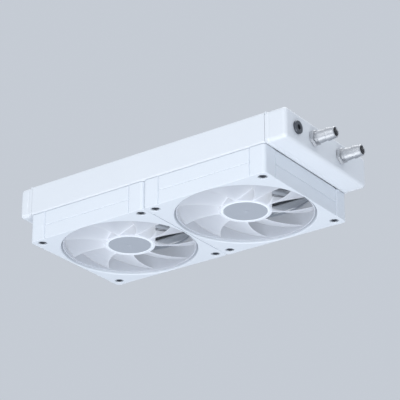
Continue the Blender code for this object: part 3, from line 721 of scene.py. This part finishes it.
def round_part(fan, part):
    """A round part's outer radius, and the heights of its lower and upper end above the fan's intake face."""
    low, high = node_box(f"fan_{fan}_{part}")
    face = fan_centre(fan)[2]
    return (high[0] - low[0]) / 2, low[2] - face, high[2] - face


def screw_names(fan):
    """The nodes of a fan's four screws."""
    return [f"fan_{fan}_screw_{corner}" for corner in CORNERS]


def screw_places(fan):
    """The middle of each screw's head, at its outer face."""
    return [start_of(*node_box(name), 2) for name in screw_names(fan)]


def square_outline(half, radius, block):
    """Points, outward directions and distances along the side, round a square with rounded corners.

    One side runs up at (half, t), with extra points where its corner blocks start, and ends in a quarter
    circle. The other three are that side turned by 90, 180 and 270 degrees.
    """
    edge = half - block
    fine = np.linspace(-0.7, 0.7, 11) * MM
    t = np.unique(np.concatenate([np.linspace(radius - half, half - radius, 41), edge + fine, -edge - fine]))
    corner = np.linspace(0, math.pi / 2, 9)[1:-1]
    arc = np.stack([np.cos(corner), np.sin(corner)], -1)
    points = np.concatenate([np.stack([np.full_like(t, half), t], -1), half - radius + radius * arc])
    outward = np.concatenate([np.tile([1.0, 0.0], (len(t), 1)), arc])
    along = np.concatenate([t, np.full(len(arc), half)])
    turns = [np.array([[math.cos(a), math.sin(a)], [-math.sin(a), math.cos(a)]])
             for a in np.arange(4) * math.pi / 2]
    points, outward = [np.concatenate([side @ turn for turn in turns]) for side in (points, outward)]
    return points, outward, np.tile(along, 4)


def frame_grids(fan, sizes):
    """The square frame as rows of points, each row going once round the axis.

    The rows run up the duct wall, over the faces and down the outer sides. The mouth flares as a quarter
    ellipse: radius = throat + reach * (1 - sin a), height = depth * (1 - cos a). The sides stand back by
    the panel inset between the corner blocks, with bell-shaped grooves at the blocks and shallower ones at
    half height. On both faces a row without grooves runs just inside them, so that no columns cross. Where
    the mouth is near, that row takes 30% of the room that is left.
    """
    low, high = node_box(f"fan_{fan}_frame")
    half, height = (high[0] - low[0]) / 2, high[2] - low[2]
    throat, exit_radius, edge, step_width = 58.3 * MM, 59.1 * MM, 0.4 * MM, 0.07 * MM
    points, outward, along = square_outline(half, 3 * MM, sizes.corner_block)
    distance = np.linalg.norm(points, axis=1)
    ways = points / distance[:, None]
    block_edge = half - sizes.corner_block
    panel = 1 / (1 + np.exp((abs(along) - block_edge) / step_width))
    line_half = sizes.groove_width / 2
    block_line = np.exp(-(((abs(along) - block_edge) / line_half) ** 2))

    def ring(radius, z):
        """A round row with a point on each of the outline's directions."""
        return np.column_stack([ways * radius, np.full(len(ways), z)])

    def side(inset, z):
        """A row round the outside, set back by the inset, the panel and the grooves."""
        middle_line = np.exp(-(((z - height / 2) / line_half) ** 2)) * panel
        depth = sizes.panel_inset * panel + sizes.groove_depth * np.maximum(block_line, middle_line / 2)
        return np.column_stack([points - outward * (inset + depth)[:, None], np.full(len(points), z)])

    def between(first, second, share):
        """A row at a share of the way from the first row to the second."""
        return first * (1 - share) + second * share

    reach = sizes.mouth_radius - throat
    flare = [ring(throat + reach * (1 - math.sin(a)), sizes.mouth_depth * (1 - math.cos(a)))
             for a in np.linspace(0, math.pi / 2, 11)]
    duct = [ring(throat, z) for z in (height * 0.5, height - 3 * MM)] + [
        ring(exit_radius - 0.2 * MM, height - 0.4 * MM), ring(exit_radius, height)]
    rounding = np.linspace(0, math.pi / 2, 5)
    heights = np.concatenate([[edge + 1.5 * MM], height / 2 + np.linspace(-0.7, 0.7, 11) * MM,
                              [height - edge - 1.5 * MM]])
    lower = [side(edge * (1 - math.sin(r)), edge * (1 - math.cos(r))) for r in rounding]
    upper = [side(edge * (1 - math.cos(r)), height - edge * (1 - math.sin(r))) for r in rounding]
    walls = [side(0, z) for z in heights]
    rim_inset = edge + sizes.panel_inset
    room = distance - sizes.mouth_radius - rim_inset
    inset = rim_inset + np.minimum(sizes.groove_depth + 0.15 * MM, 0.3 * room)
    inside = points - outward * inset[:, None]
    plain = [np.column_stack([inside, np.full(len(inside), z)]) for z in (0, height)]
    bottom = [between(plain[0], flare[0], share) for share in (0, 0.35, 0.7)]
    top = [between(plain[1], duct[-1], share) for share in (0, 0.35, 0.7)]
    rows = flare + duct + top[::-1] + upper[::-1] + walls[::-1] + lower[::-1] + bottom
    return [(np.stack(rows) + fan_centre(fan), (True, True))]


def corner_hole_grids(fan):
    """Cutters for the counterbored corner holes, each with a chamfered mouth, centred on the screws."""
    low, high = node_box(f"fan_{fan}_frame")
    clearance, counterbore, floor, chamfer = 2.2 * MM, 3.75 * MM, 3 * MM, 0.55 * MM
    before, beyond = -1 * MM, high[2] - low[2] + MM
    outline = [(0, before), (counterbore + chamfer - before, before), (counterbore, chamfer),
               (counterbore, floor), (clearance, floor), (clearance, beyond), (0, beyond)]
    return [turned(outline, (x, y, low[2]), 40) for x, y, _ in screw_places(fan)]


def motor_mount_grids(fan):
    """The motor's round base with a raised bearing post, and four struts.

    A strut's middle line runs outwards while its angle drifts by the sweep. Its section is a flattened
    ellipse, wider than it is high, which narrows outwards.
    """
    centre = fan_centre(fan)
    bottom, top, radius, struts = 21.8 * MM, 24.8 * MM, 22 * MM, 4
    post, bore, post_end, bore_end = 4.8 * MM, 3.5 * MM, 8.7 * MM, 22.8 * MM
    groove, groove_half, groove_floor = 18.95 * MM, 0.45 * MM, top - 0.25 * MM
    width, depth, sweep = 2.1 * MM, 1.3 * MM, 0.12
    strut_start, strut_end = radius - 1.5 * MM, 58.6 * MM
    plate = softened([(0, top), (groove - groove_half, top), (groove - 0.25 * MM, groove_floor),
                      (groove + 0.25 * MM, groove_floor), (groove + groove_half, top), (radius, top),
                      (radius, bottom), (post, bottom), (post, post_end), (bore, post_end), (bore, bore_end),
                      (0, bore_end)], 0.35 * MM, 4)
    grids = [turned(plate, centre)]
    share = np.linspace(0, 1, 12)[:, None]
    around = np.linspace(0, math.tau, 20, endpoint=False)[None, :]
    reach = strut_start + (strut_end - strut_start) * share
    across = width * (1.25 - 0.25 * share) * np.cos(around)
    up = depth * np.sign(np.sin(around)) * abs(np.sin(around)) ** 0.6
    for start in math.tau * (np.arange(struts) + 0.5) / struts:
        angle = start + sweep * np.sin(math.pi * share)
        x = reach * np.cos(angle) - across * np.sin(angle)
        y = reach * np.sin(angle) + across * np.cos(angle)
        z = (bottom + top) / 2 + up + 0 * reach
        grids.append((closed_ends(np.stack([x, y, z], -1)) + centre, (False, True)))
    return grids


def blade_grid(turn, low, high, root, tip, thickness, spacing):
    """One blade, as closed sections from root to tip.

    A section's middle line goes round the axis by its arc, 1.3 to 1.4 times the spacing, and climbs from
    low to high, steeper towards its trailing edge: climb = 0.8 s + 0.2 s^2. Its half thickness is an ellipse
    in s, flattened by the power 0.7. The whole section leans back by up to tip_lean, most near the tip.
    """
    tip_lean = math.radians(14)
    share = np.linspace(0, 1, 15)[:, None]
    loop = np.linspace(0, math.tau, 56, endpoint=False)[None, :]
    s = (1 - np.cos(loop)) / 2
    radius = root + (tip - root) * share
    arc = spacing * (1.3 + 0.1 * np.sin(math.pi * share))
    lean = tip_lean * share**1.4
    climb = (high - low) * (0.8 * s + 0.2 * s**2)
    pitch = np.arctan2(high - low, radius * arc)
    offset = thickness * (0.5 - 0.12 * share) * np.sign(np.sin(loop)) * abs(np.sin(loop)) ** 0.7
    angle = turn - lean + arc * s - offset * np.sin(pitch) / radius
    z = low + climb + offset * np.cos(pitch)
    return closed_ends(np.stack([radius * np.cos(angle), radius * np.sin(angle), z], -1)), (False, True)


def impeller_grids(fan, sizes):
    """The hub cup, the rim that links the blade tips, and the blades between them."""
    blade_bottom, blade_top, hub_end, cup_floor, hub_wall = 3.9 * MM, 20.0 * MM, 20.8 * MM, 1.3 * MM, 1.4 * MM
    centre = fan_centre(fan)
    rim_outer, rim_bottom, rim_top = round_part(fan, "impeller")
    rim_inner, rim_middle = rim_outer - 1.0 * MM, 8 * MM
    ring_radius, face, _ = round_part(fan, "light_ring")
    recess_radius, recess = ring_radius + 0.2 * MM, round_part(fan, "hub_cap")[2] + 0.3 * MM
    inner = round_part(fan, "rotor_yoke")[0] + 0.6 * MM
    outer = inner + hub_wall
    hub = softened([(0, recess), (recess_radius, recess), (recess_radius, face), (outer, face),
                    (outer, hub_end), (inner, hub_end), (inner, recess + cup_floor), (0, recess + cup_floor)],
                   0.4 * MM, 4)
    rim = softened([(rim_inner, rim_middle), (rim_inner, rim_bottom), (rim_outer, rim_bottom),
                    (rim_outer, rim_top), (rim_inner, rim_top), (rim_inner, rim_middle)], 0.35 * MM, 4)
    spacing = math.tau / sizes.blade_count
    grids = [turned(hub, centre, 96), turned(rim, centre, 144)]
    for turn in spacing * np.arange(sizes.blade_count):
        points, closed = blade_grid(turn, blade_bottom, blade_top, outer - 0.6 * MM, rim_inner + 0.5 * MM,
                                    sizes.blade_thickness, spacing)
        grids.append((points + centre, closed))
    return grids


def cap_grids(fan):
    """The hub cap: a disc that is dished by the square of the radius, with a small dimple in its middle."""
    radius, face, back = round_part(fan, "hub_cap")
    dish, dimple, dimple_radius, edge = 0.12 * MM, 0.75 * MM, 1.9 * MM, 0.35 * MM
    r = np.concatenate([np.linspace(0, 4.0 * MM, 18), np.linspace(5.0 * MM, radius - edge, 8)])
    z = face + dish * (1 - (r / radius) ** 2) + dimple * np.exp(-((r / dimple_radius) ** 2))
    wall = softened([(r[-1], z[-1]), (radius, face + 0.05 * MM), (radius, back), (0, back)], 0.2 * MM, 4)
    return [turned(np.concatenate([np.stack([r, z], -1), wall[1:]]), fan_centre(fan), 96)]


def light_ring_grids(fan):
    """The light ring: a band whose face is a flattened arch, height = arch * (1 - sqrt(sin a))."""
    outer, face, back = round_part(fan, "light_ring")
    inner, arch = round_part(fan, "hub_cap")[0] + 0.3 * MM, 0.6 * MM
    turn = np.linspace(math.pi, 0, 17)
    across = (outer + inner) / 2 + (outer - inner) / 2 * np.cos(turn)
    crown = np.stack([across, face + arch * (1 - np.sqrt(np.sin(turn)))], -1)
    profile = np.concatenate([[(inner, back)], crown, [(outer, back), (inner, back)]])
    return [turned(profile, fan_centre(fan), 96)]


def screw_grids(node_name):
    """A pan-head screw with a tapering cross recess.

    The thread's radius follows a triangle wave of height over pitch minus the share of a turn, so its crest
    winds up the shank.
    """
    low, high = node_box(node_name)
    head, length = (high[0] - low[0]) / 2, high[2] - low[2]
    head_top, recess_depth, under_head, steps = 2.2 * MM, 1.3 * MM, 1.2 * MM, 48
    shank, bare, bare_length, pitch, thread_depth = 1.5 * MM, 1.4 * MM, 14 * MM, 0.5 * MM, 0.28 * MM
    dome = softened([(1.75 * MM, 0), (head - 0.7 * MM, 0), (head, 0.8 * MM), (head, head_top),
                     (under_head, head_top)], 0.5 * MM, 5)
    recess = np.array([(0, recess_depth), (1, recess_depth), (1, 0.02 * MM)])
    thread_z = np.arange(head_top + bare_length, length - 0.6 * MM, pitch / 8)
    plain = [(bare, head_top), (bare, thread_z[0] - 0.3 * MM)]
    threaded = np.stack([np.full(len(thread_z), shank), thread_z], -1)
    tip = [(0.9 * MM, length - 0.1 * MM), (0.6 * MM, length), (0, length)]
    outline = np.concatenate([recess, dome, plain, threaded, tip])
    factors = np.ones((len(outline), steps))
    factors[1] = cross(steps, 1.0 * MM, 0.25 * MM)
    factors[2] = cross(steps, 1.6 * MM, 0.42 * MM)
    first = len(recess) + len(dome) + len(plain)
    share = np.arange(steps) / steps
    wave = abs(((thread_z[:, None] / pitch - share) % 1) * 2 - 1)
    factors[first:first + len(thread_z)] = 1 - thread_depth / shank * (1 - wave)
    return [turned(outline, start_of(low, high, 2), steps, "Z", factors)]


# ---------------------------------------------------------------- operators


class BuildTanks(bpy.types.Operator):
    """Builds both end tanks, and finishes the header plates that close them."""

    bl_idname = "radiator.tanks"
    bl_label = "Tanks and headers"

    def execute(self, context):
        sizes = context.scene.radiator_sizes
        gap, depth = 0.02 * MM, 3 * MM
        low, high = node_box("return_tank")
        high[0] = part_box("return_header")[1].x - gap
        piece("return_tank_shell", tank_grids(low, high, True, sizes.tank_corner, sizes.crimp_depth),
              powder_coat(), BODY, ["return_tank"])
        low, high = node_box("port_tank")
        low[0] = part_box("port_header")[0].x + gap
        holes = []
        for name, radius in PORT_HOLES.items():
            middle = start_of(*node_box(name), 0)
            outline = [(0, -depth), (radius, -depth), (radius, depth), (0, depth)]
            holes.append(turned(outline, (high[0], middle[1], middle[2]), 48, "X"))
        piece("port_tank_shell", tank_grids(low, high, False, sizes.tank_corner, sizes.crimp_depth),
              powder_coat(), BODY, ["port_tank"], holes)
        refinish(["return_header", "port_header"], powder_coat())
        return {"FINISHED"}


class BuildRails(bpy.types.Operator):
    """Builds the two bent side rails with their screw holes."""

    bl_idname = "radiator.rails"
    bl_label = "Side rails"

    def execute(self, context):
        bend = context.scene.radiator_sizes.rail_bend
        sheet, hole_radius, chamfer_radius, chamfer = 1.3 * MM, 1.8 * MM, 2.5 * MM, 0.35 * MM
        screws = [place for fan in FANS for place in screw_places(fan)]
        for name, side in (("near_rail", -1), ("far_rail", 1)):
            low, high = node_box(name)
            half_width = max(abs(low[1]), abs(high[1]))
            outer, inner = channel_section(half_width, low[2], high[2], high[1] - low[1], sheet, bend)
            grids = strip_grids(outer, inner, low[0], high[0],
                                lambda a, b, run: np.stack([run, side * a, b], -1))
            under, over = low[2] - MM, high[2] + chamfer
            outline = [(0, under), (hole_radius, under), (hole_radius, high[2] - chamfer),
                       (chamfer_radius, over), (0, over)]
            holes = [turned(outline, (x, y, 0), 36) for x, y, _ in screws if y * side > 0]
            piece(name + "_channel", grids, powder_coat(), BODY, [name], holes)
        return {"FINISHED"}


class BuildCore(bpy.types.Operator):
    """Builds the fine folded fins, and finishes the coolant tubes between them."""

    bl_idname = "radiator.core"
    bl_label = "Core"

    def execute(self, context):
        sizes = context.scene.radiator_sizes
        for name in FIN_STRIPS:
            low, high = node_box(name)
            middle = (low[1] + high[1]) / 2
            outer, inner = fin_section(low[0], high[0], (high[1] - low[1]) / 2, sizes.fin_spacing,
                                       sizes.fin_thickness)
            grids = strip_grids(outer, inner, low[2], high[2],
                                lambda a, b, run: np.stack([a, middle + b, run], -1))
            piece(name + "_folds", grids, core_paint(), BODY, [name])
        refinish(TUBES, core_paint())
        return {"FINISHED"}


class BuildPorts(bpy.types.Operator):
    """Builds the two hose nipples and the fill plug, each with its seal."""

    bl_idname = "radiator.ports"
    bl_label = "Nipples and plug"

    def execute(self, context):
        for name in ("inlet_nipple", "outlet_nipple"):
            piece(name + "_barbs", nipple_grids(*node_box(name)), turned_metal(), BODY, [name])
            piece(name + "_seal", seal_grids(*node_box(name)), rubber(), BODY)
        low, high = node_box("fill_plug")
        piece("fill_plug_head", plug_grids(low, high), dark_plating(), BODY, ["fill_plug"])
        piece("fill_plug_seal", seal_grids(low, high), rubber(), BODY)
        return {"FINISHED"}


class BuildFanFrames(bpy.types.Operator):
    """Builds each fan's square frame, and its motor mount with the struts."""

    bl_idname = "radiator.fan_frames"
    bl_label = "Fan frames"

    def execute(self, context):
        sizes = context.scene.radiator_fans
        for fan in FANS:
            piece(f"fan_{fan}_housing", frame_grids(fan, sizes), frame_plastic(), BODY,
                  [f"fan_{fan}_frame"], corner_hole_grids(fan))
            piece(f"fan_{fan}_motor_mount", motor_mount_grids(fan), frame_plastic(), BODY)
        return {"FINISHED"}


class BuildImpellers(bpy.types.Operator):
    """Builds each fan's impeller, its hub cap and its light ring."""

    bl_idname = "radiator.impellers"
    bl_label = "Impellers"

    def execute(self, context):
        sizes = context.scene.radiator_fans
        for fan in FANS:
            rotor = ROTOR.format(fan)
            centre = fan_centre(fan)
            piece(f"fan_{fan}_blades", impeller_grids(fan, sizes), frosted_plastic(fan, centre), rotor,
                  [f"fan_{fan}_impeller"])
            piece(f"fan_{fan}_cap_disc", cap_grids(fan), cap_finish(fan, centre), rotor,
                  [f"fan_{fan}_hub_cap"])
            piece(f"fan_{fan}_glow_ring", light_ring_grids(fan), ring_finish(), rotor,
                  [f"fan_{fan}_light_ring"])
        return {"FINISHED"}


class BuildScrews(bpy.types.Operator):
    """Builds the long screws in the fans' corners."""

    bl_idname = "radiator.screws"
    bl_label = "Screws"

    def execute(self, context):
        for fan in FANS:
            for name in screw_names(fan):
                piece(name + "_thread", screw_grids(name), dark_plating(), BODY, [name])
        return {"FINISHED"}


class FinishMotors(bpy.types.Operator):
    """Finishes the parts inside each motor, whose shapes are already right."""

    bl_idname = "radiator.motors"
    bl_label = "Motors"

    def execute(self, context):
        for ending, finish in motor_finishes().items():
            refinish([f"fan_{fan}_{ending}" for fan in FANS], finish)
        return {"FINISHED"}


COOL = (0.97, 0.99, 1.0)
WHITE = (1.0, 1.0, 1.0)
LIGHTS = (  # name, place, width, watts and colour of each square light
    ("Key", (0.1, -1.6, 0.1), 1.2, 8, COOL),
    ("Fill", (0.35, -0.55, -1.15), 1.2, 12.5, COOL),
    ("Top", (0.3, 0.3, 1.6), 1.6, 15, WHITE),
    ("Back", (-0.9, 1.5, 0.5), 1.2, 5, COOL),
)


class BuildStage(bpy.types.Operator):
    """Sets up the floor, the surrounding air, soft lights and the camera, which looks up at the object."""

    bl_idname = "radiator.stage"
    bl_label = "Stage"

    def execute(self, context):
        settings = context.scene.radiator_stage
        self.add_floor(settings)
        self.add_air(context.scene, settings)
        for name, place, width, watts, colour in LIGHTS:
            data = bpy.data.lights.new(name, "AREA")
            data.size, data.energy, data.color = width, watts, colour
            self.place_at(name, data, Vector(place)).visible_camera = False
        self.add_camera(context.scene, settings)
        return {"FINISHED"}

    def place_at(self, name, data, place):
        """A light or camera that stands at a place and faces the object's middle."""
        made = bpy.data.objects.new(name, data)
        bpy.context.scene.collection.objects.link(made)
        made.location = place
        made.rotation_euler = (MIDDLE - place).to_track_quat("-Z", "Y").to_euler()
        return made

    def add_floor(self, settings):
        """A wide disc far below the object, 30 m in radius, with a barely uneven paint."""
        profile = [(radius, 0) for radius in (0, 2, 6, 14, 30)]
        disc = turned(profile, (0, 0, -settings.floor_drop), 64)
        floor = bpy.data.objects.new("floor", mesh_of("floor", [disc]))
        bpy.context.scene.collection.objects.link(floor)
        floor.data.materials.append(finish_of("Floor paint", settings.floor, drift=(0.02, 0.8),
                                              grain=(0.004, 0.6, 0.7), bump=0.05))

    def add_air(self, scene, settings):
        """An even light from all round, in the backdrop's colour."""
        world = bpy.data.worlds.new("Air")
        scene.world = world
        world.use_nodes = True
        world.node_tree.nodes["Background"].inputs["Color"].default_value = (*settings.backdrop, 1)

    def add_camera(self, scene, settings):
        """The camera looks up at the object from its port end, turned by azimuth and elevation."""
        data = bpy.data.cameras.new("Camera")
        data.lens, data.clip_start, data.clip_end = settings.lens, 0.05, 100
        azimuth, elevation = math.radians(-54.11), math.radians(-24.49)
        level = Vector((math.cos(azimuth), math.sin(azimuth), 0)) * math.cos(elevation)
        way = level + Vector((0, 0, math.sin(elevation)))
        scene.camera = self.place_at("Camera", data, MIDDLE + way * settings.camera_distance)
        scene.view_settings.view_transform = "Standard"


class RadiatorPanel(bpy.types.Panel):
    """Lists the settings and the steps that build the radiator."""

    bl_idname = "VIEW3D_PT_radiator"
    bl_label = "Liquid Cooling Radiator"
    bl_space_type = "VIEW_3D"
    bl_region_type = "UI"
    bl_category = "Radiator"

    def draw(self, context):
        for settings in SETTINGS:
            group = getattr(context.scene, settings)
            box = self.layout.box()
            for name in group.__annotations__:
                box.prop(group, name)
        for step in STEPS:
            self.layout.operator(step.bl_idname)


SETTINGS = {
    "radiator_sizes": RadiatorSizes,
    "radiator_fans": FanSizes,
    "radiator_finishes": Finishes,
    "radiator_stage": StageSettings,
}
STEPS = (BuildTanks, BuildRails, BuildCore, BuildPorts, BuildFanFrames, BuildImpellers, BuildScrews,
         FinishMotors, BuildStage)
CLASSES = (*SETTINGS.values(), *STEPS, RadiatorPanel)


def register():
    """Makes the settings, steps and panel known, and gives each scene its settings."""
    for made in CLASSES:
        bpy.utils.register_class(made)
    for name, group in SETTINGS.items():
        setattr(bpy.types.Scene, name, PointerProperty(type=group))


def unregister():
    """Takes everything back that register made known."""
    for name in SETTINGS:
        delattr(bpy.types.Scene, name)
    for made in reversed(CLASSES):
        bpy.utils.unregister_class(made)


def main():
    """Builds the radiator step by step."""
    register()
    bpy.ops.radiator.tanks()
    bpy.ops.radiator.rails()
    bpy.ops.radiator.core()
    bpy.ops.radiator.ports()
    bpy.ops.radiator.fan_frames()
    bpy.ops.radiator.impellers()
    bpy.ops.radiator.screws()
    bpy.ops.radiator.motors()
    bpy.ops.radiator.stage()


if __name__ == "__main__":
    main()
